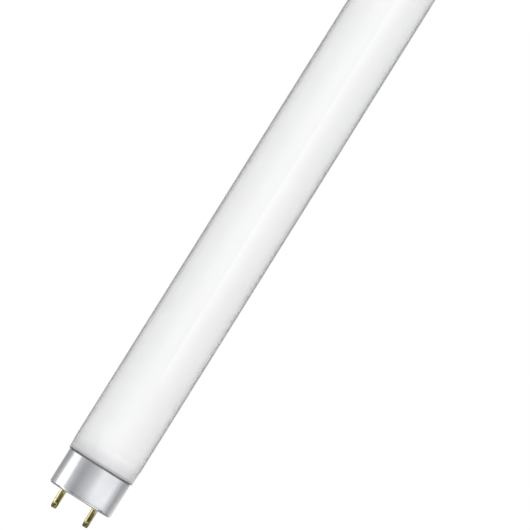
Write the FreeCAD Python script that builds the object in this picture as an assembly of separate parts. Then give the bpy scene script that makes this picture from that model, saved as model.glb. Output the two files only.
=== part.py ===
import FreeCAD, Part
import math
import os

from FreeCAD import Vector

# Straight fluorescent tube with a two-pin cap at each end, in millimetres.
# X runs along the lamp with the origin at its middle, the two pins of a cap lie side by side along Y,
# and Z is up.
# Every piece of an end is drawn at the left end. Its place s is counted from the outer face of the cap,
# positive into the lamp, and r is the distance from the axis of the piece.

# Lamp
LAMP_LENGTH = 589.8          # from the face of one cap to the face of the other

# Glass tube
GLASS_OD = 26.0
GLASS_WALL = 0.55
SHOULDER_DROP = 0.33         # how much smaller the radius is where the tube meets the cap
SHOULDER_LENGTH = 4.3        # length over which the radius falls off, before the rounding below
SHOULDER_EDGE = 0.4          # rounding of the shoulder's edge beside the cap
SHOULDER_BLEND = 90.0        # rounding where the tube starts to narrow
NECK_SETBACK = 7.2           # from the cap's face to the glass end inside the cap
RIM_ROUND = 0.95             # rounding of the glass end, where tube and flare are fused

# Glass stem, the part of the tube that is folded back inside it
STEM_BORE = 7.2              # bore of the stem tube
STEM_WALL = 0.9
STEM_LENGTH = 8.0            # straight length of the stem tube behind its flare
PRESS_LENGTH = 9.0           # flattened end that grips the wires
PRESS_WIDTH = 8.4
PRESS_THICKNESS = 3.4
PRESS_ROUND = 1.2
EXHAUST_OD = 3.6             # small pumping tube, melted shut
EXHAUST_BORE = 1.8
EXHAUST_SETBACK = 6.0        # from the cap's face to the tip of the pumping tube

# Cap shell, an aluminium cup
CAP_STEP = 0.75              # from the tube's radius down to the cap's
CAP_LENGTH = 13.42
CAP_WALL = 0.3
CAP_CORNER = 0.9             # outer rounding between face and side
CAP_EDGE = 0.1               # rounding of the cut edges of the sheet
FACE_LIP = 2.85              # width of the ring left round the opening in the cap's face
SHOULDER_GAP = 0.12          # open groove between the cap's rim and the glass shoulder

# Insulating plate behind the cap's face
PLATE_THICKNESS = 1.6
PLATE_CLEARANCE = 0.05       # on radius, in the cap shell
PLATE_ROUND_CLEARANCE = 0.15  # how much larger its front rounding is than the inside corner of the cap shell

# Contact pins, hollow and riveted through the plate
PIN_SPACING = 12.7
PIN_OD = 2.35
PIN_WALL = 0.4
PIN_REACH = 7.1              # from the cap's face to the tip
PIN_TAPER = 1.5              # tapered length at the tip
PIN_TIP_OD = 1.95
PIN_TIP_ROUND = 0.45
PIN_TIP_HOLE = 0.7
COLLAR_OD = 3.4              # bead that seats on the front of the plate
COLLAR_THICKNESS = 0.22
SHANK_OD = 2.7               # swollen by the riveting until it fills the plate's hole
RIVET_OD = 3.6               # end flared over the back of the plate
RIVET_THICKNESS = 0.35
PIN_HEAD_ROUND = 0.1         # rounding of collar and rivet
CRIMP_REACH = 5.5            # from the cap's face to the middle of the crimp
CRIMP_CLEARANCE = 0.02       # between the pressed-in wall and the wire
PUNCH_RADIUS = 0.9           # ball-ended punch that presses the crimp

# Lead wires, from the press into the pins
WIRE_OD = 0.6
WIRE_SEAL = 2.6              # length held in the glass of the press
WIRE_BEND = 1.5              # bend radius at the wire's axis
WIRE_LEAD_IN = 1.2           # from the bend in line with the pin to the pin's rivet
WIRE_TIP_SETBACK = 0.25      # from the end of the pin's bore to the end of the wire

# Cement ring that holds the cap on the glass
CEMENT_GAP = 0.4             # between glass neck and cap shell
CEMENT_RECESS = 0.2          # from its end to where the neck starts to widen

# Sizes that follow from those above
GLASS_RADIUS = GLASS_OD / 2
SHOULDER_RADIUS = GLASS_RADIUS - SHOULDER_DROP
CAP_RADIUS = GLASS_RADIUS - CAP_STEP
CAP_INNER_RADIUS = CAP_RADIUS - CAP_WALL
CAP_INNER_CORNER = CAP_CORNER - CAP_WALL
NECK_RADIUS = CAP_INNER_RADIUS - CEMENT_GAP
SHOULDER_PLACE = CAP_LENGTH + SHOULDER_GAP
NECK_FILLET = SHOULDER_RADIUS - NECK_RADIUS - SHOULDER_EDGE
NECK_END = SHOULDER_PLACE - NECK_FILLET
STEM_BORE_RADIUS = STEM_BORE / 2
STEM_RADIUS = STEM_BORE_RADIUS + STEM_WALL
FLARE_RADIUS = NECK_RADIUS - RIM_ROUND - STEM_BORE_RADIUS
PRESS_PLACE = NECK_SETBACK + FLARE_RADIUS + STEM_LENGTH
EXHAUST_RADIUS = EXHAUST_OD / 2
PLATE_FRONT = CAP_WALL
PLATE_BACK = PLATE_FRONT + PLATE_THICKNESS
PIN_RADIUS = PIN_OD / 2
SHANK_RADIUS = SHANK_OD / 2
PIN_BORE_RADIUS = PIN_RADIUS - PIN_WALL
PIN_BORE_END = PIN_REACH - PIN_WALL
WIRE_OFFSET = (EXHAUST_RADIUS + STEM_BORE_RADIUS) / 2
CRIMP_DEPTH = PIN_BORE_RADIUS - WIRE_OD / 2 - CRIMP_CLEARANCE
SMALLEST = 1e-6


# The left end is drawn, and the right end is the same after half a turn about the Z axis.
END_TURNS = {"left": 0, "right": 180}

# The side of the XZ plane on which a pin lies, at the left end
SIDES = {"front": -1, "rear": 1}
OPPOSITE = {"front": "rear", "rear": "front"}


def at_end(shape, end):
    """A piece drawn at the left end, put at the named end."""
    placed = shape.copy()
    placed.rotate(Vector(0, 0, 0), Vector(0, 0, 1), END_TURNS[end])
    return placed


def lamp_point(s, r, y=0):
    """The point at s from the left cap's face, r above the lamp's axis and y to its rear."""
    return Vector(s - LAMP_LENGTH / 2, y, r)


def rounded_edges(corners, closed):
    """Straight and round edges through corners, each a point and its rounding, cut to fit its two sides."""
    points = [point for point, rounding in corners]
    count = len(points)
    last_side = count if closed else count - 1
    lengths = [points[i].distanceToPoint(points[(i + 1) % count]) for i in range(last_side)]
    turns, trims = [], []
    for i, (point, rounding) in enumerate(corners):
        inside = closed or 0 < i < count - 1
        turn = (point - points[i - 1]).getAngle(points[(i + 1) % count] - point) if inside else 0
        turns.append(turn)
        trims.append(max(rounding, 0) * math.tan(turn / 2))
    for i in range(last_side):
        both = trims[i] + trims[(i + 1) % count]
        if both > lengths[i]:
            trims[i] *= lengths[i] / both
            trims[(i + 1) % count] *= lengths[i] / both
    edges = []
    for i in range(last_side):
        j = (i + 1) % count
        along = (points[j] - points[i]).normalize()
        start = points[i] + along * trims[i]
        end = points[j] - along * trims[j]
        if start.distanceToPoint(end) > SMALLEST:
            edges.append(Part.LineSegment(start, end).toShape())
        if trims[j] > SMALLEST:
            onward = (points[(j + 1) % count] - points[j]).normalize()
            radius = trims[j] / math.tan(turns[j] / 2)
            inward = (onward - along).normalize()
            middle = points[j] + inward * (radius / math.cos(turns[j] / 2) - radius)
            edges.append(Part.Arc(end, middle, points[j] + onward * trims[j]).toShape())
    return edges


def turned(edges):
    """The solid that a closed outline in the XZ plane makes when it is turned about the X axis."""
    solid = Part.Face(Part.Wire(edges)).revolve(Vector(0, 0, 0), Vector(1, 0, 0), 360)
    return solid


def turned_profile(corners):
    """A turned piece of the left end, from corners given as (s, r, rounding)."""
    return turned(rounded_edges([(lamp_point(s, r), rounding) for s, r, rounding in corners], True))


def lamp_body(end_corners):
    """A body as long as the lamp, with the same outline at both ends, from its corners at the left end."""
    corners = [(lamp_point(s, r), rounding) for s, r, rounding in end_corners]
    mirrored = [(Vector(-point.x, point.y, point.z), rounding) for point, rounding in reversed(corners)]
    return turned(rounded_edges(corners + mirrored, True))


def glass_outside():
    """The space inside the outer surface of the glass, with the stems folded back into its ends."""
    well = (STEM_BORE_RADIUS - EXHAUST_RADIUS) / 2
    return lamp_body([
        (EXHAUST_SETBACK, 0, 0),
        (EXHAUST_SETBACK, EXHAUST_RADIUS, EXHAUST_RADIUS),
        (PRESS_PLACE, EXHAUST_RADIUS, well),
        (PRESS_PLACE, STEM_BORE_RADIUS, well),
        (NECK_SETBACK, STEM_BORE_RADIUS, FLARE_RADIUS),
        (NECK_SETBACK, NECK_RADIUS, RIM_ROUND),
        (SHOULDER_PLACE, NECK_RADIUS, NECK_FILLET),
        (SHOULDER_PLACE, SHOULDER_RADIUS, SHOULDER_EDGE),
        (SHOULDER_PLACE + SHOULDER_LENGTH, GLASS_RADIUS, SHOULDER_BLEND),
    ])


def glass_cavity():
    """The sealed space inside the tube, around the domed ends of both stems."""
    return lamp_body([
        (PRESS_PLACE + STEM_RADIUS, 0, 0),
        (PRESS_PLACE + STEM_RADIUS, STEM_RADIUS, STEM_RADIUS),
        (NECK_SETBACK + STEM_WALL, STEM_RADIUS, FLARE_RADIUS - STEM_WALL),
        (NECK_SETBACK + STEM_WALL, NECK_RADIUS - GLASS_WALL, RIM_ROUND - GLASS_WALL),
        (SHOULDER_PLACE + GLASS_WALL, NECK_RADIUS - GLASS_WALL, NECK_FILLET + GLASS_WALL),
        (SHOULDER_PLACE + GLASS_WALL, SHOULDER_RADIUS - GLASS_WALL, SHOULDER_EDGE - GLASS_WALL),
        (SHOULDER_PLACE + SHOULDER_LENGTH, GLASS_RADIUS - GLASS_WALL, SHOULDER_BLEND - GLASS_WALL),
    ])


def glass_press():
    """The flattened end of the left stem."""
    corner = lamp_point(PRESS_PLACE, -PRESS_THICKNESS / 2, -PRESS_WIDTH / 2)
    block = Part.makeBox(PRESS_LENGTH, PRESS_WIDTH, PRESS_THICKNESS, corner)
    long_edges = [e for e in block.Edges if abs(e.tangentAt(e.FirstParameter).x) > 0.5]
    return block.makeFillet(min(PRESS_ROUND, PRESS_THICKNESS / 2.1), long_edges)


def exhaust_bore():
    """The bore of the left pumping tube, which opens into the sealed space through the press."""
    start = EXHAUST_SETBACK + EXHAUST_RADIUS
    length = PRESS_PLACE + PRESS_LENGTH - start
    return Part.makeCylinder(EXHAUST_BORE / 2, length, lamp_point(start, 0), Vector(1, 0, 0))


def glass_tube(wires):
    """The sealed glass: tube, shoulders, necks, flares, stems and pumping tubes, melted into one piece."""
    gas_space = glass_cavity()
    for end in END_TURNS:
        gas_space = gas_space.cut(at_end(glass_press(), end))
        gas_space = gas_space.fuse(at_end(exhaust_bore(), end))
    glass = glass_outside().cut(gas_space)
    for wire in wires:
        glass = glass.cut(wire)
    return glass


def cap_shell():
    """Drawn aluminium cup with a round opening in its face."""
    opening = CAP_RADIUS - FACE_LIP
    return turned_profile([
        (0, opening, CAP_EDGE),
        (0, CAP_RADIUS, CAP_CORNER),
        (CAP_LENGTH, CAP_RADIUS, CAP_EDGE),
        (CAP_LENGTH, CAP_INNER_RADIUS, 0),
        (CAP_WALL, CAP_INNER_RADIUS, CAP_INNER_CORNER),
        (CAP_WALL, opening, 0),
    ])


def pin_plate():
    """Insulating disc that lies against the inside of the cap's face, with a hole for each pin."""
    radius = CAP_INNER_RADIUS - PLATE_CLEARANCE
    plate = turned_profile([
        (PLATE_FRONT, 0, 0),
        (PLATE_FRONT, radius, CAP_INNER_CORNER + PLATE_ROUND_CLEARANCE),
        (PLATE_BACK, radius, 0),
        (PLATE_BACK, 0, 0),
    ])
    for side in SIDES.values():
        start = lamp_point(PLATE_FRONT, 0, side * PIN_SPACING / 2)
        plate = plate.cut(Part.makeCylinder(SHANK_RADIUS, PLATE_THICKNESS, start, Vector(1, 0, 0)))
    return plate


def contact_pin(side):
    """Hollow brass pin with a collar in front of the plate, a rivet behind it and a crimp near its tip."""
    pin = turned_profile([
        (-PIN_REACH, PIN_TIP_HOLE / 2, 0),
        (-PIN_REACH, PIN_TIP_OD / 2, PIN_TIP_ROUND),
        (-PIN_REACH + PIN_TAPER, PIN_RADIUS, 0),
        (PLATE_FRONT - COLLAR_THICKNESS, PIN_RADIUS, 0),
        (PLATE_FRONT - COLLAR_THICKNESS, COLLAR_OD / 2, PIN_HEAD_ROUND),
        (PLATE_FRONT, COLLAR_OD / 2, 0),
        (PLATE_FRONT, SHANK_RADIUS, 0),
        (PLATE_BACK, SHANK_RADIUS, 0),
        (PLATE_BACK, RIVET_OD / 2, 0),
        (PLATE_BACK + RIVET_THICKNESS, RIVET_OD / 2, PIN_HEAD_ROUND),
        (PLATE_BACK + RIVET_THICKNESS, PIN_BORE_RADIUS, 0),
        (-PIN_BORE_END, PIN_BORE_RADIUS, 0),
        (-PIN_BORE_END, PIN_TIP_HOLE / 2, 0),
    ])
    bore = Part.makeCylinder(PIN_BORE_RADIUS, PIN_BORE_END, lamp_point(-PIN_BORE_END, 0), Vector(1, 0, 0))
    for up in (1, -1):
        punch_centre = lamp_point(-CRIMP_REACH, up * (PIN_RADIUS - CRIMP_DEPTH + PUNCH_RADIUS))
        pressed_in = Part.makeSphere(PUNCH_RADIUS + PIN_WALL, punch_centre).common(bore)
        pin = pin.fuse(pressed_in).cut(Part.makeSphere(PUNCH_RADIUS, punch_centre))
    pin.translate(Vector(0, side * PIN_SPACING / 2, 0))
    return pin


def lead_wire(side):
    """Wire from the glass press, through the stem and the cap, to the end of the pin's bore."""
    near, far = side * WIRE_OFFSET, side * PIN_SPACING / 2
    route = [
        (PRESS_PLACE + WIRE_SEAL, near, 0),
        (NECK_SETBACK, near, WIRE_BEND),
        (PLATE_BACK + RIVET_THICKNESS + WIRE_LEAD_IN, far, WIRE_BEND),
        (WIRE_TIP_SETBACK - PIN_BORE_END, far, 0),
    ]
    corners = [(lamp_point(s, 0, y), rounding) for s, y, rounding in route]
    path = Part.Wire(rounded_edges(corners, False))
    section = Part.Wire(Part.makeCircle(WIRE_OD / 2, corners[0][0], Vector(1, 0, 0)))
    return path.makePipeShell([section], True, False)


def cement_ring():
    """Cement between the glass neck and the cap shell, from the plate almost to the neck's end."""
    end = NECK_END - CEMENT_RECESS
    return turned_profile([
        (PLATE_BACK, NECK_RADIUS, 0),
        (PLATE_BACK, CAP_INNER_RADIUS, 0),
        (end, CAP_INNER_RADIUS, 0),
        (end, NECK_RADIUS, 0),
    ])


def lamp_pieces():
    """Every piece of the lamp by its name."""
    pieces = {}
    for end, turn in END_TURNS.items():
        pieces[f"cap_shell_{end}"] = at_end(cap_shell(), end)
        pieces[f"pin_plate_{end}"] = at_end(pin_plate(), end)
        pieces[f"cap_cement_{end}"] = at_end(cement_ring(), end)
        for name, side in SIDES.items():
            # Half a turn takes the front pin of the drawing to the rear.
            place = OPPOSITE[name] if turn else name
            pieces[f"contact_pin_{end}_{place}"] = at_end(contact_pin(side), end)
            pieces[f"lead_wire_{end}_{place}"] = at_end(lead_wire(side), end)
    wires = [shape for name, shape in pieces.items() if name.startswith("lead_wire")]
    pieces["glass_tube"] = glass_tube(wires)
    return pieces


def main():
    os.makedirs("parts", exist_ok=True)
    for name, shape in lamp_pieces().items():
        if len(shape.Solids) != 1 or not shape.isValid():
            raise ValueError(f"{name} is not one valid solid")
        shape.Solids[0].exportStep(f"parts/{name}.step")
        print(name, round(shape.Volume, 2), "mm3")


main()
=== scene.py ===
import math

import bpy
from mathutils import Matrix, Vector


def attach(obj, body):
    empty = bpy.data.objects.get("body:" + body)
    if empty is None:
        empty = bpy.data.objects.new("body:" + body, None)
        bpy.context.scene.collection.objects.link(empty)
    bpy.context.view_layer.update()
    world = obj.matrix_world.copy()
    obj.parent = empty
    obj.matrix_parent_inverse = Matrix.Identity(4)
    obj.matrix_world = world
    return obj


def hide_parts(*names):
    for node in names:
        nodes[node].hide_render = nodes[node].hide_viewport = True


# A straight fluorescent tube with a two-pin cap at each end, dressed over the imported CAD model.
# The row frame has X along the lamp with the origin at its middle, the two pins of a cap lie side by side
# along Y, and Z is up. The sizes of the glass are in millimetres here, and its places s are counted from
# the outer face of a cap into the lamp, as in the part's source. The studio is in metres.

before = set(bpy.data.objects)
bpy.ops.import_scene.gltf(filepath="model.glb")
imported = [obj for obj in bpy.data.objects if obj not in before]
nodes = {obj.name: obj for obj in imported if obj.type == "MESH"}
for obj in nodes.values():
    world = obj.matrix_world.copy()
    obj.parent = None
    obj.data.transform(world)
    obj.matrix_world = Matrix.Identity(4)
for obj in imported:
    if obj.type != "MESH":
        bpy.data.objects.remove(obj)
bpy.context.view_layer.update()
scene = bpy.context.scene

MM = 0.001
MICRON = 0.000001
TURN = 2 * math.pi

# Glass, from the part's source
LAMP_LENGTH = 589.8
GLASS_RADIUS = 13.0
GLASS_WALL = 0.55
SHOULDER_RADIUS = 12.67
SHOULDER_PLACE = 13.54
SHOULDER_LENGTH = 4.3
SHOULDER_EDGE = 0.4
SHOULDER_BLEND = 90.0
NECK_RADIUS = 11.55
NECK_SETBACK = 7.2
NECK_FILLET = 0.72
RIM_ROUND = 0.95
FLARE_RADIUS = 7.0
STEM_BORE_RADIUS = 3.6
STEM_WALL = 0.9
STEM_RADIUS = STEM_BORE_RADIUS + STEM_WALL
PRESS_PLACE = 22.2
PRESS_LENGTH = 9.0
PRESS_HALF_WIDTH = 4.2
PRESS_HALF_THICKNESS = 1.7
PRESS_ROUND = 1.2
EXHAUST_RADIUS = 1.8
EXHAUST_BORE_RADIUS = 0.9
EXHAUST_SETBACK = 6.0

# Coating inside the glass
COAT_GAP = 0.03              # the powder touches the glass only here and there, so air lies between
COAT_THICKNESS = 0.04
COAT_START = 9.5             # where the coating begins, inside the neck
COAT_BITE = 0.02             # how far it sinks into the glass from there round the shoulder's edge
COAT_LIFT = 0.9              # how far past the shoulder's edge it has come free of the glass

# Fineness of the glass mesh
SEGMENTS = 160
ARC_STEP = math.radians(9)
FEWEST_ARC_STEPS = 8
DOME_STEPS = 12
RING_SPACING = 20.0
SMALLEST_ROUND = 0.06
SHORTEST_STEP = 1e-6         # points nearer to each other than this are one
POLE_RADIUS = 1e-9
INNER_EDGE = 0.25            # rounding inside the shoulder's edge


# Shapes

def rounded_line(corners):
    """Points (s, r) along a line of corners (s, r, rounding), each rounded as far as its sides allow."""
    points = [Vector((s, r)) for s, r, rounding in corners]
    last = len(points) - 1
    lengths = [(points[i + 1] - points[i]).length for i in range(last)]
    trims, turns = [0.0] * (last + 1), [0.0] * (last + 1)
    for i in range(1, last):
        turns[i] = (points[i] - points[i - 1]).angle(points[i + 1] - points[i])
        trims[i] = max(corners[i][2], SMALLEST_ROUND) * math.tan(turns[i] / 2)
    for i in range(last):
        both = trims[i] + trims[i + 1]
        if both > lengths[i]:
            trims[i] *= lengths[i] / both
            trims[i + 1] *= lengths[i] / both
    line = [points[0]]
    for i in range(1, last):
        before = (points[i - 1] - points[i]).normalized()
        after = (points[i + 1] - points[i]).normalized()
        start, end = points[i] + before * trims[i], points[i] + after * trims[i]
        radius = trims[i] / math.tan(turns[i] / 2)
        inward = (before + after).normalized()
        centre = points[i] + inward * (radius / math.cos(turns[i] / 2))
        count = max(FEWEST_ARC_STEPS, math.ceil(turns[i] / ARC_STEP))
        for k in range(count + 1):
            share = math.tan((k / count - 0.5) * turns[i]) / math.tan(turns[i] / 2)
            chord = (start - centre).lerp(end - centre, 0.5 + share / 2)
            line.append(centre + chord.normalized() * radius)
    line.append(points[last])
    return line


def evened_rings(line):
    """Rings (s, radii) along a line, with more of them on its long straight stretches."""
    rings = []
    for a, b in zip(line, line[1:]):
        if (b - a).length < SHORTEST_STEP:
            continue
        count = max(1, round((b - a).length / RING_SPACING))
        for k in range(count):
            s, r = a.lerp(b, k / count)
            rings.append((s, [r] * SEGMENTS))
    s, r = line[-1]
    rings.append((s, [r] * SEGMENTS))
    return rings


def to_both_ends(rings):
    """The rings of the left half, from the end to the middle, followed by the same for the right half."""
    left = [(s - LAMP_LENGTH / 2, radii) for s, radii in rings]
    right = [(-x, radii) for x, radii in reversed(left[:-1])]
    return left + right


def skin(rings, flipped=False, looped=False):
    """Vertices and faces of the surface through rings (x, radii), where an end ring of no size is a pole."""
    vertices, starts = [], []
    for x, radii in rings:
        starts.append((len(vertices), 1 if max(radii) < POLE_RADIUS else SEGMENTS))
        for k in range(starts[-1][1]):
            angle = TURN * k / SEGMENTS
            vertices.append((x * MM, radii[k] * math.cos(angle) * MM, radii[k] * math.sin(angle) * MM))
    faces = []
    pairs = list(zip(starts, starts[1:])) + ([(starts[-1], starts[0])] if looped else [])
    for (a, size_a), (b, size_b) in pairs:
        for k in range(SEGMENTS):
            after = (k + 1) % SEGMENTS
            if size_a == 1:
                face = (a, b + after, b + k)
            elif size_b == 1:
                face = (a + k, a + after, b)
            else:
                face = (a + k, a + after, b + after, b + k)
            faces.append(face[::-1] if flipped else face)
    return vertices, faces


def made_of(name, skins, material):
    """One smooth mesh object from several skins."""
    vertices, faces = [], []
    for skin_vertices, skin_faces in skins:
        faces += [tuple(i + len(vertices) for i in face) for face in skin_faces]
        vertices += skin_vertices
    mesh = bpy.data.meshes.new(name)
    mesh.from_pydata(vertices, [], faces)
    mesh.validate()
    mesh.shade_smooth()
    mesh.materials.append(material)
    piece = bpy.data.objects.new(name, mesh)
    scene.collection.objects.link(piece)
    return piece


def body_corners(depth, edge):
    """Corners from the neck to the middle of the lamp, at depth under the outside of the glass."""
    return [
        (SHOULDER_PLACE + depth, NECK_RADIUS - depth, NECK_FILLET + depth),
        (SHOULDER_PLACE + depth, SHOULDER_RADIUS - depth, edge),
        (SHOULDER_PLACE + SHOULDER_LENGTH, GLASS_RADIUS - depth, SHOULDER_BLEND - depth),
        (LAMP_LENGTH / 2, GLASS_RADIUS - depth, 0),
    ]


def press_radius(angle):
    """How far the outline of the flattened stem is from its axis, in a direction."""
    across, up = abs(math.cos(angle)), abs(math.sin(angle))
    flat_width, flat_height = PRESS_HALF_WIDTH - PRESS_ROUND, PRESS_HALF_THICKNESS - PRESS_ROUND
    if PRESS_HALF_WIDTH * up <= flat_height * across:
        return PRESS_HALF_WIDTH / across
    if PRESS_HALF_THICKNESS * across <= flat_width * up:
        return PRESS_HALF_THICKNESS / up
    along = across * flat_width + up * flat_height
    return along + math.sqrt(along**2 - flat_width**2 - flat_height**2 + PRESS_ROUND**2)


def press_rings():
    """Rings from the flat end of the press back over the dome of the stem that it grows out of."""
    outline = [press_radius(TURN * k / SEGMENTS) for k in range(SEGMENTS)]
    rings = [(PRESS_PLACE + PRESS_LENGTH, outline)]
    for k in range(DOME_STEPS + 1):
        angle = math.pi / 2 * k / DOME_STEPS
        dome_place = PRESS_PLACE + STEM_RADIUS * math.cos(angle)
        dome_radius = STEM_RADIUS * math.sin(angle)
        rings.append((dome_place, [max(dome_radius, r) for r in outline]))
    return rings


def glass_piece(material):
    """The sealed glass with its folded-back stems: an outer skin and the skin of the space inside."""
    well = (STEM_BORE_RADIUS - EXHAUST_RADIUS) / 2
    outside = evened_rings(rounded_line([
        (EXHAUST_SETBACK, 0, 0),
        (EXHAUST_SETBACK, EXHAUST_RADIUS, EXHAUST_RADIUS),
        (PRESS_PLACE, EXHAUST_RADIUS, well),
        (PRESS_PLACE, STEM_BORE_RADIUS, well),
        (NECK_SETBACK, STEM_BORE_RADIUS, FLARE_RADIUS),
        (NECK_SETBACK, NECK_RADIUS, RIM_ROUND),
    ] + body_corners(0, SHOULDER_EDGE)))
    bore_end = EXHAUST_SETBACK + EXHAUST_RADIUS
    bore = [
        (bore_end, [0.0] * SEGMENTS),
        (bore_end, [EXHAUST_BORE_RADIUS] * SEGMENTS),
        (PRESS_PLACE + PRESS_LENGTH, [EXHAUST_BORE_RADIUS] * SEGMENTS),
    ]
    wall = evened_rings(rounded_line([
        (PRESS_PLACE, STEM_RADIUS, 0),
        (NECK_SETBACK + STEM_WALL, STEM_RADIUS, FLARE_RADIUS - STEM_WALL),
        (NECK_SETBACK + STEM_WALL, NECK_RADIUS - GLASS_WALL, RIM_ROUND - GLASS_WALL),
    ] + body_corners(GLASS_WALL, INNER_EDGE)))
    inside = bore + press_rings() + wall[1:]
    skins = [skin(to_both_ends(outside)), skin(to_both_ends(inside), flipped=True)]
    return made_of("tube_glass", skins, material)


def coating_piece(material):
    """The thin powder layer against the inside of the glass.

    Up to COAT_LIFT it is sunk in the glass, which would mirror there and show black over an air gap.
    """
    lift_radius = SHOULDER_RADIUS + (GLASS_RADIUS - SHOULDER_RADIUS) * COAT_LIFT / SHOULDER_LENGTH
    layers = []
    for inward in (0, COAT_THICKNESS):
        sunk = GLASS_WALL - COAT_BITE + inward
        free = GLASS_WALL + COAT_GAP + inward
        start = (COAT_START, NECK_RADIUS - sunk, 0)
        lift = (SHOULDER_PLACE + COAT_LIFT, lift_radius - free, 0)
        corners = [start, *body_corners(sunk, INNER_EDGE)[:2], lift, *body_corners(free, INNER_EDGE)[2:]]
        layers.append(to_both_ends(evened_rings(rounded_line(corners))))
    return made_of("tube_coating", [skin(layers[0] + layers[1][::-1], looped=True)], material)


# Materials

# Places between which the coating greys, from thinning and painted shade by the cap, and its colours from
# the one (0) to the other (1)
COAT_WHITE_PLACE = 22.5
COAT_GREYEST_PLACE = 13.4
# Grey coating colours, partly thinner powder and partly painted shade from the cap and shoulder
COAT_THINNING_AND_SHADE_COLOURS = [
    (0.0, (0.90, 0.90, 0.90)),
    (0.35, (0.85, 0.85, 0.852)),
    (0.46, (0.81, 0.81, 0.813)),
    (0.65, (0.73, 0.73, 0.735)),
    (0.80, (0.68, 0.68, 0.69)),
    (0.84, (0.67, 0.67, 0.68)),
    (0.875, (0.61, 0.61, 0.62)),
    (0.91, (0.46, 0.46, 0.47)),
    (1.0, (0.44, 0.44, 0.45)),
]

# How far outside the cap's face the brass of the pins starts to brown, and where it is brown all over
BROWNING_START = 4.5
BROWNING_END = 6.3
BROWN_BRASS = (0.18, 0.135, 0.062)
PATCHINESS = 0.3             # how much the tarnish shifts the browning, as a share of its whole range


class Finish:
    """A node material under construction, with its main shader."""

    def __init__(self, name, colour, roughness, metallic=0.0):
        self.material = bpy.data.materials.new(name)
        self.material.use_nodes = True
        self.tree = self.material.node_tree
        self.shader = self.tree.nodes["Principled BSDF"]
        self.output = self.tree.nodes["Material Output"]
        self.shader.inputs["Base Color"].default_value = (*colour, 1)
        self.shader.inputs["Roughness"].default_value = roughness
        self.shader.inputs["Metallic"].default_value = metallic
        self.place = self.add("ShaderNodeTexCoord").outputs["Object"]

    def add(self, kind, **settings):
        node = self.tree.nodes.new(kind)
        for name, value in settings.items():
            setattr(node, name, value)
        return node

    def link(self, source, target):
        self.tree.links.new(source, target)

    def stretched(self, scale):
        """Object coordinates, scaled by a factor for each axis."""
        mapping = self.add("ShaderNodeMapping")
        mapping.inputs["Scale"].default_value = scale
        self.link(self.place, mapping.inputs["Vector"])
        return mapping.outputs["Vector"]

    def noise(self, scale, detail=3.0, roughness=0.55, distortion=0.0):
        """Noise from 0 to 1 over object coordinates scaled for each axis, in cells a metre."""
        node = self.add("ShaderNodeTexNoise")
        node.inputs["Scale"].default_value = 1.0
        node.inputs["Detail"].default_value = detail
        node.inputs["Roughness"].default_value = roughness
        node.inputs["Distortion"].default_value = distortion
        self.link(self.stretched(scale), node.inputs["Vector"])
        return node.outputs["Fac"]

    def mapped(self, value, low, high, from_low=0.3, from_high=0.7):
        """A value from from_low to from_high, mapped to low to high."""
        node = self.add("ShaderNodeMapRange")
        for name, number in (
            ("From Min", from_low), ("From Max", from_high), ("To Min", low), ("To Max", high),
        ):
            node.inputs[name].default_value = number
        self.link(value, node.inputs["Value"])
        return node.outputs["Result"]

    def calculated(self, operation, first, second):
        """The result of a math node on an output and either a number or another output."""
        node = self.add("ShaderNodeMath", operation=operation)
        self.link(first, node.inputs[0])
        if isinstance(second, float):
            node.inputs[1].default_value = second
        else:
            self.link(second, node.inputs[1])
        return node.outputs["Value"]

    def distance_along(self, axis):
        """How far a point is from the middle of the object, along one of its axes."""
        axes = self.add("ShaderNodeSeparateXYZ")
        self.link(self.place, axes.inputs["Vector"])
        distance = self.add("ShaderNodeMath", operation="ABSOLUTE")
        self.link(axes.outputs[axis], distance.inputs[0])
        return distance.outputs["Value"]

    def blended(self, factor, first, second):
        """One colour where factor is 0 and another where it is 1. Either may come from a node."""
        node = self.add("ShaderNodeMix", data_type="RGBA")
        self.link(factor, node.inputs["Factor"])
        for socket, colour in (("A", first), ("B", second)):
            socket = next(s for s in node.inputs if s.name == socket and s.type == "RGBA")
            if isinstance(colour, tuple):
                socket.default_value = (*colour, 1)
            else:
                self.link(colour, socket)
        return next(s for s in node.outputs if s.type == "RGBA")

    def multiplied(self, first, second):
        """The product of two colours from nodes."""
        node = self.add("ShaderNodeMix", data_type="RGBA", blend_type="MULTIPLY")
        node.inputs["Factor"].default_value = 1.0
        sockets = [s for s in node.inputs if s.type == "RGBA"]
        self.link(first, sockets[0])
        self.link(second, sockets[1])
        return next(s for s in node.outputs if s.type == "RGBA")

    def bump(self, height, microns, strength):
        """The surface's direction with a relief of so many microns."""
        node = self.add("ShaderNodeBump")
        node.inputs["Strength"].default_value = strength
        node.inputs["Distance"].default_value = microns * MICRON
        self.link(height, node.inputs["Height"])
        return node.outputs["Normal"]

    def use(self, **sockets):
        """Links outputs to the main shader's sockets, named with _ for a space."""
        for name, source in sockets.items():
            self.link(source, self.shader.inputs[name.replace("_", " ")])

    def give_way(self, factor, other, output):
        """Shows another shader instead of the main one where factor is 1."""
        mix = self.add("ShaderNodeMixShader")
        self.link(factor, mix.inputs["Fac"])
        self.link(self.shader.outputs["BSDF"], mix.inputs[1])
        self.link(other.outputs[output], mix.inputs[2])
        self.link(mix.outputs["Shader"], self.output.inputs["Surface"])


def clear_glass():
    """Soda-lime tube glass. Lamps shine straight through it, so that they light the coating behind."""
    finish = Finish("clear_glass", (0.99, 0.99, 0.99), 0.0)
    finish.shader.inputs["Transmission Weight"].default_value = 1.0
    finish.shader.inputs["IOR"].default_value = 1.51
    draw_lines = finish.noise((6, 900, 900), detail=2.0)
    finish.use(Normal=finish.bump(draw_lines, 4, 0.25))
    rays = finish.add("ShaderNodeLightPath")
    finish.give_way(rays.outputs["Is Shadow Ray"], finish.add("ShaderNodeBsdfTransparent"), "BSDF")
    return finish.material


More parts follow.
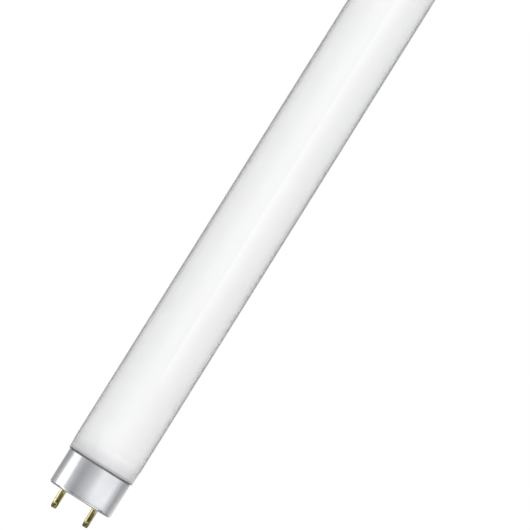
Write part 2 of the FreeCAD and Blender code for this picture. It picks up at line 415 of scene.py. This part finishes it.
def white_coating():
    """White powder that greys in the last millimetres before each cap, partly thinner and partly painted
    shade.
    """
    finish = Finish("white_coating", (0.9, 0.9, 0.89), 0.9)
    finish.shader.inputs["Specular IOR Level"].default_value = 0.1
    white, thin = [(LAMP_LENGTH / 2 - s) * MM for s in (COAT_WHITE_PLACE, COAT_GREYEST_PLACE)]
    fade = finish.mapped(finish.distance_along("X"), 0, 1, white, thin)
    # The ramp paints shade from the cap and shoulder into the coating's colour, on top of its real thinning
    ramp = finish.add("ShaderNodeValToRGB")
    stops = ramp.color_ramp.elements
    while len(stops) < len(COAT_THINNING_AND_SHADE_COLOURS):
        stops.new(0.5)
    for stop, (place, colour) in zip(stops, COAT_THINNING_AND_SHADE_COLOURS):
        stop.position = place
        stop.color = (*colour, 1)
    finish.link(fade, ramp.inputs["Fac"])
    powder = finish.mapped(finish.noise((2500, 2500, 2500), detail=4.0), 0, 1)
    clouds = finish.mapped(finish.noise((90, 140, 140), detail=3.0), 0, 1)
    grainy = finish.blended(powder, (0.985, 0.985, 0.985), (1, 1, 1))
    cloudy = finish.blended(clouds, (0.99, 0.99, 0.985), (1, 1, 1))
    colour = finish.multiplied(finish.multiplied(ramp.outputs["Color"], grainy), cloudy)
    finish.use(Base_Color=colour, Normal=finish.bump(powder, 10, 0.3))
    return finish.material


def cap_aluminium():
    """Drawn aluminium sheet with fine lines round the cap, from the draw and the polishing."""
    finish = Finish("cap_aluminium", (0.87, 0.88, 0.895), 0.2, metallic=1.0)
    lines = finish.noise((9000, 60, 60), detail=3.0, roughness=0.6)
    stains = finish.noise((260, 260, 260), detail=4.0)
    drawn, stained = finish.mapped(lines, 0.16, 0.2), finish.mapped(stains, -0.015, 0.03)
    finish.use(
        Base_Color=finish.blended(finish.mapped(stains, 0, 1), (0.85, 0.86, 0.875), (0.89, 0.9, 0.91)),
        Roughness=finish.calculated("ADD", drawn, stained),
        Normal=finish.bump(lines, 2, 0.2),
    )
    return finish.material


def pin_brass():
    """Drawn brass, tarnished in places, and turning dark brown towards the tips."""
    finish = Finish("pin_brass", (0.87, 0.79, 0.38), 0.16, metallic=1.0)
    lines = finish.noise((300, 7000, 7000), detail=2.0)
    tarnish = finish.noise((900, 900, 900), detail=5.0, roughness=0.6)
    dulled = finish.mapped(tarnish, 0, 1, 0.45, 0.75)
    drawn = finish.blended(dulled, (0.86, 0.765, 0.36), (0.68, 0.54, 0.24))
    # The pins turn dark brown over their last millimetres towards the tips
    bright, brown = [(LAMP_LENGTH / 2 + reach) * MM for reach in (BROWNING_START, BROWNING_END)]
    toward_tip = finish.mapped(finish.distance_along("X"), 0, 1, bright, brown)
    patches = finish.calculated("MULTIPLY", finish.mapped(tarnish, -0.5, 0.5), PATCHINESS)
    browning = finish.mapped(finish.calculated("ADD", patches, toward_tip), 0, 1, 0, 1)
    finish.use(
        Base_Color=finish.blended(browning, drawn, BROWN_BRASS),
        Roughness=finish.mapped(tarnish, 0.12, 0.24),
        Normal=finish.bump(lines, 4, 0.3),
    )
    return finish.material


def resin_board():
    """Brown phenolic paper board, with its fibres faintly showing."""
    finish = Finish("resin_board", (0.2, 0.1, 0.05), 0.45)
    fibres = finish.noise((900, 2600, 700), detail=5.0, roughness=0.65, distortion=0.6)
    clouds = finish.noise((120, 220, 220), detail=3.0)
    fine = finish.blended(finish.mapped(fibres, 0, 1), (0.15, 0.07, 0.035), (0.27, 0.145, 0.075))
    finish.use(
        Base_Color=finish.blended(finish.mapped(clouds, 0, 0.35), fine, (0.31, 0.17, 0.09)),
        Roughness=finish.mapped(fibres, 0.36, 0.55),
        Normal=finish.bump(fibres, 10, 0.4),
    )
    return finish.material


def lead_wire():
    """Copper-clad wire, browned where the glass was melted round it."""
    finish = Finish("lead_wire", (0.7, 0.45, 0.32), 0.3, metallic=1.0)
    oxide = finish.noise((500, 1500, 1500), detail=4.0)
    finish.use(
        Base_Color=finish.blended(finish.mapped(oxide, 0, 1), (0.72, 0.47, 0.34), (0.4, 0.24, 0.17)),
        Roughness=finish.mapped(oxide, 0.24, 0.42),
    )
    return finish.material


def cap_cement():
    """Baked resin cement with fine chalk grain."""
    finish = Finish("cap_cement", (0.5, 0.4, 0.27), 0.8)
    grain = finish.noise((3000, 3000, 3000), detail=5.0, roughness=0.7)
    lumps = finish.noise((500, 500, 500), detail=3.0)
    finish.use(
        Base_Color=finish.blended(finish.mapped(grain, 0, 1), (0.4, 0.31, 0.2), (0.58, 0.48, 0.34)),
        Roughness=finish.mapped(grain, 0.7, 0.9),
        Normal=finish.bump(lumps, 50, 0.6),
    )
    return finish.material


# Studio

# Lengths are in metres. Angles are in degrees round the lamp, from straight up towards the front.
CAMERA_DISTANCE = 6.0
CAMERA_CLIP = (0.1, 60.0)
VIEW_WIDTH = 0.1828          # what the square picture spans, at the lamp
VIEW_CENTRE = (-0.1923, -0.01139)
VIEW_TURN = math.radians(-58.02)  # the lamp lies aslant in the picture
SENSOR = 36.0                # in millimetres, and the lens is worked out from it

ROOM_GREY = (0.385, 0.39, 0.405)
FLOOR_DEPTH = 1.0
FLOOR_SIZE = 5.0
FLOOR_GREY = (0.4, 0.4, 0.4)
FLOOR_GLOW = 1.08            # with what the floor's own shade adds, this makes white
GLOW_SHARE = 0.9             # the rest is the floor's own shade, with the lamp's shadow in it

# Metal and glass see the floor white up to the first distance from under the lamp, and plain from the second
WHITE_FLOOR = [("Is Glossy Ray", 0.20, 0.37), ("Is Transmission Ray", 0.10, 0.20)]

# Soft boxes that light what is matt: name, from angle, to angle, radiance
BOX_DISTANCE = 2.5
BOX_LENGTH = 1.2
SOFT_BOXES = [
    ("overhead", -12, 12, 5.95),
    ("front_box", 48, 72, 7.35),
    ("rear_box", -72, -48, 7.5),
]

# Panels that show in what shines. The streak runs along the tube, and the others stand beside each cap:
# name, from angle, to angle, radiance, angle at which it fades out
PANEL_DISTANCE = 0.5
STREAK_LENGTH = 0.5
STREAK = ("streak", 13, 56, 1.0, 56)
SIDE_PANEL_START = 0.29      # from the middle of the lamp, 5 mm short of the cap's face
SIDE_PANEL_LENGTH = 0.6
FADE_POWER = 1.4
SIDE_PANELS = [
    ("front_panel", 28, 79, 0.95, None),
    ("front_edge", 79, 114, 0.95, 114),
    ("front_under", 110, 160, 0.55, 110),
    ("top_panel", -36, 28, 0.95, -36),
    ("rear_strip", -108, -71, 1.5, None),
    ("rear_edge", -71, -40, 0.5, -40),
    ("rear_under", -132, -108, 0.5, -132),
]
METAL_ONLY_PANEL = "rear_strip"  # its end would show in the glass as a patch

# Bent paper cards for the dark edges of what shines: their two places along the lamp, their distance
# from its axis, and their two angles. The first two stand off the ends, the flag lies along the tube.
FACE_CARD = ((0.2963, 0.3095), 0.05, (-36, 84))
CORNER_CARD = ((0.3075, 0.366), 0.06, (78, 165))
FLAG_CARD = ((-0.3, 0.3), 0.3, (123, 144))
CARD_STRIPS = 24
DARK_PAPER = (0.05, 0.036, 0.022)
GREY_PAPER = (0.3, 0.3, 0.31)
CARD_REACH = (0.12, 0.18)    # from how near a card off the ends shows in full, and from how far not at all
FLAG_FADE = (0.2, 0.3)       # how far from the middle of the lamp the flags start and end to fade out


def card_paper(colour, near_only):
    """Matt coloured paper that shows only to what is near, or else fades out towards a long card's ends."""
    finish = Finish("card_paper", colour, 0.9)
    finish.shader.inputs["Specular IOR Level"].default_value = 0.0
    if near_only:
        distance, fade_range = finish.add("ShaderNodeLightPath").outputs["Ray Length"], CARD_REACH
    else:
        distance, fade_range = finish.distance_along("X"), FLAG_FADE
    fade = finish.mapped(distance, 0, 1, *fade_range)
    finish.give_way(fade, finish.add("ShaderNodeBsdfTransparent"), "BSDF")
    return finish.material


def panel(name, x, length, distance, angles, radiance, dark_angle=None, for_shine=True):
    """A soft box along X that faces the lamp's axis, between two angles.

    It shows in shiny things or lights matt ones. With one of its angles as dark_angle it fades out there.
    """
    half_angle = math.radians(angles[1] - angles[0]) / 2
    middle = math.radians(angles[1] + angles[0]) / 2
    width = 2 * distance * math.tan(half_angle)
    light = bpy.data.lights.new(name, "AREA")
    light.shape = "RECTANGLE"
    light.size, light.size_y = width, length
    light.energy = radiance * math.pi * length * width  # a lamp's power, for the radiance of its face
    light.cycles.use_multiple_importance_sampling = for_shine
    if dark_angle is not None:
        fade_across(light, falling=dark_angle == angles[1])
    lamp = bpy.data.objects.new(name, light)
    scene.collection.objects.link(lamp)
    back = Vector((0, -math.sin(middle), math.cos(middle)))
    along = Vector((1, 0, 0))
    turn = Matrix((along.cross(back), along, back)).transposed()
    lamp.matrix_world = Matrix.Translation(back * distance + along * x) @ turn.to_4x4()
    lamp.visible_camera = False
    lamp.visible_diffuse = not for_shine
    lamp.visible_glossy = for_shine
    lamp.visible_transmission = False
    return lamp


def fade_across(light, falling):
    """Makes the light of a panel rise from nothing across its width, or fall to nothing."""
    light.use_nodes = True
    tree = light.node_tree
    surface = tree.nodes.new("ShaderNodeNewGeometry")
    axes = tree.nodes.new("ShaderNodeSeparateXYZ")
    tree.links.new(surface.outputs["Parametric"], axes.inputs["Vector"])
    rise = tree.nodes.new("ShaderNodeMapRange")
    if falling:
        rise.inputs["From Min"].default_value, rise.inputs["From Max"].default_value = 1, 0
    tree.links.new(axes.outputs["X"], rise.inputs["Value"])
    power = tree.nodes.new("ShaderNodeMath")
    power.operation = "POWER"
    power.inputs[1].default_value = FADE_POWER
    tree.links.new(rise.outputs["Result"], power.inputs[0])
    tree.links.new(power.outputs["Value"], tree.nodes["Emission"].inputs["Strength"])


def bent_card(card_size, end, side, material):
    """A card bent round the lamp's axis, at an end and a side of it (1 or -1), seen only in what shines."""
    places, distance, angles = card_size
    vertices, faces = [], []
    for k in range(CARD_STRIPS + 1):
        angle = side * math.radians(angles[0] + (angles[1] - angles[0]) * k / CARD_STRIPS)
        vertices += [(end * x, -distance * math.sin(angle), distance * math.cos(angle)) for x in places]
    for k in range(CARD_STRIPS):
        faces.append((2 * k, 2 * k + 1, 2 * k + 3, 2 * k + 2))
    mesh = bpy.data.meshes.new("bent_card")
    mesh.from_pydata(vertices, [], faces)
    mesh.materials.append(material)
    card = bpy.data.objects.new("bent_card", mesh)
    scene.collection.objects.link(card)
    card.visible_camera = card.visible_diffuse = card.visible_transmission = card.visible_shadow = False


def studio_world():
    """A plain light grey room, white where the camera looks past the floor."""
    world = bpy.data.worlds.new("room")
    scene.world = world
    world.use_nodes = True
    world.cycles.sampling_method = "NONE"  # an even room needs no sampling of its own
    tree = world.node_tree
    background = tree.nodes["Background"]
    rays = tree.nodes.new("ShaderNodeLightPath")
    mix = tree.nodes.new("ShaderNodeMix")
    mix.data_type = "RGBA"
    colours = [s for s in mix.inputs if s.type == "RGBA"]
    colours[0].default_value = (*ROOM_GREY, 1)
    colours[1].default_value = (1, 1, 1, 1)
    tree.links.new(rays.outputs["Is Camera Ray"], mix.inputs["Factor"])
    tree.links.new(next(s for s in mix.outputs if s.type == "RGBA"), background.inputs["Color"])


def floor_finish():
    """Pale floor. It shows white to the camera, and so does its middle to metal and glass."""
    finish = Finish("pale_floor", FLOOR_GREY, 0.9)
    finish.shader.inputs["Specular IOR Level"].default_value = 0.0
    across = finish.distance_along("Y")
    rays = finish.add("ShaderNodeLightPath")
    white = rays.outputs["Is Camera Ray"]
    for kind, white_to, grey_from in WHITE_FLOOR:
        near = finish.mapped(across, 1, 0, white_to, grey_from)
        white = finish.calculated("MAXIMUM", white, finish.calculated("MULTIPLY", rays.outputs[kind], near))
    glow = finish.add("ShaderNodeEmission")
    glow.inputs["Strength"].default_value = FLOOR_GLOW
    finish.give_way(finish.calculated("MULTIPLY", white, GLOW_SHARE), glow, "Emission")
    return finish.material


def add_floor():
    half = FLOOR_SIZE / 2
    corners = [(-half, -half, 0), (half, -half, 0), (half, half, 0), (-half, half, 0)]
    mesh = bpy.data.meshes.new("floor")
    mesh.from_pydata(corners, [], [(0, 1, 2, 3)])
    mesh.materials.append(floor_finish())
    floor = bpy.data.objects.new("floor", mesh)
    floor.location.z = -FLOOR_DEPTH
    scene.collection.objects.link(floor)


def add_camera():
    """Straight above, from so far that the view is nearly parallel."""
    camera = bpy.data.objects.new("camera", bpy.data.cameras.new("camera"))
    camera.data.sensor_width = SENSOR
    camera.data.lens = SENSOR * CAMERA_DISTANCE / VIEW_WIDTH
    camera.data.clip_start, camera.data.clip_end = CAMERA_CLIP
    camera.location = (*VIEW_CENTRE, CAMERA_DISTANCE)
    camera.rotation_euler = (0, 0, VIEW_TURN)
    scene.collection.objects.link(camera)
    scene.camera = camera


def add_lamps(metal_pieces):
    """The soft boxes, the streak along the tube and the panels beside each cap."""
    for name, *angles, radiance in SOFT_BOXES:
        panel(name, 0, BOX_LENGTH, BOX_DISTANCE, angles, radiance, for_shine=False)
    name, *angles, radiance, dark_angle = STREAK
    panel(name, 0, STREAK_LENGTH, PANEL_DISTANCE, angles, radiance, dark_angle)
    for end in (-1, 1):
        x = end * (SIDE_PANEL_START + SIDE_PANEL_LENGTH / 2)
        for name, *angles, radiance, dark_angle in SIDE_PANELS:
            lamp = panel(name, x, SIDE_PANEL_LENGTH, PANEL_DISTANCE, angles, radiance, dark_angle)
            if name == METAL_ONLY_PANEL:
                lamp.light_linking.receiver_collection = metal_pieces


def add_cards():
    """Cards off both ends of the lamp, and a long flag below it at each side."""
    for end in (-1, 1):
        bent_card(FACE_CARD, end, 1, card_paper(DARK_PAPER, near_only=True))
        for side in (-1, 1):
            bent_card(CORNER_CARD, end, side, card_paper(GREY_PAPER, near_only=True))
    for side in (-1, 1):
        bent_card(FLAG_CARD, 1, side, card_paper(DARK_PAPER, near_only=False))


# The lamp
finishes = {
    "cap_shell": ("cap_aluminium", cap_aluminium()),
    "pin_plate": ("pin_plate", resin_board()),
    "contact_pin": ("pin_brass", pin_brass()),
    "lead_wire": ("lead_wire", lead_wire()),
    "cap_cement": ("cap_cement", cap_cement()),
}
metal_pieces = bpy.data.collections.new("metal_pieces")  # what the metal-only panel may light
for name, node in nodes.items():
    for start, (slot, material) in finishes.items():
        if name.startswith(start):
            node.data.materials.clear()
            node.data.materials.append(material)
    if name.startswith(("cap_shell", "contact_pin")):
        metal_pieces.objects.link(node)

glass = glass_piece(clear_glass())
coating = coating_piece(white_coating())
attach(glass, "root")
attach(coating, "root")
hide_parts("glass_tube")

# The room, its lamps and the camera
scene.view_settings.view_transform = "Standard"
studio_world()
add_floor()
add_camera()
add_lamps(metal_pieces)
add_cards()
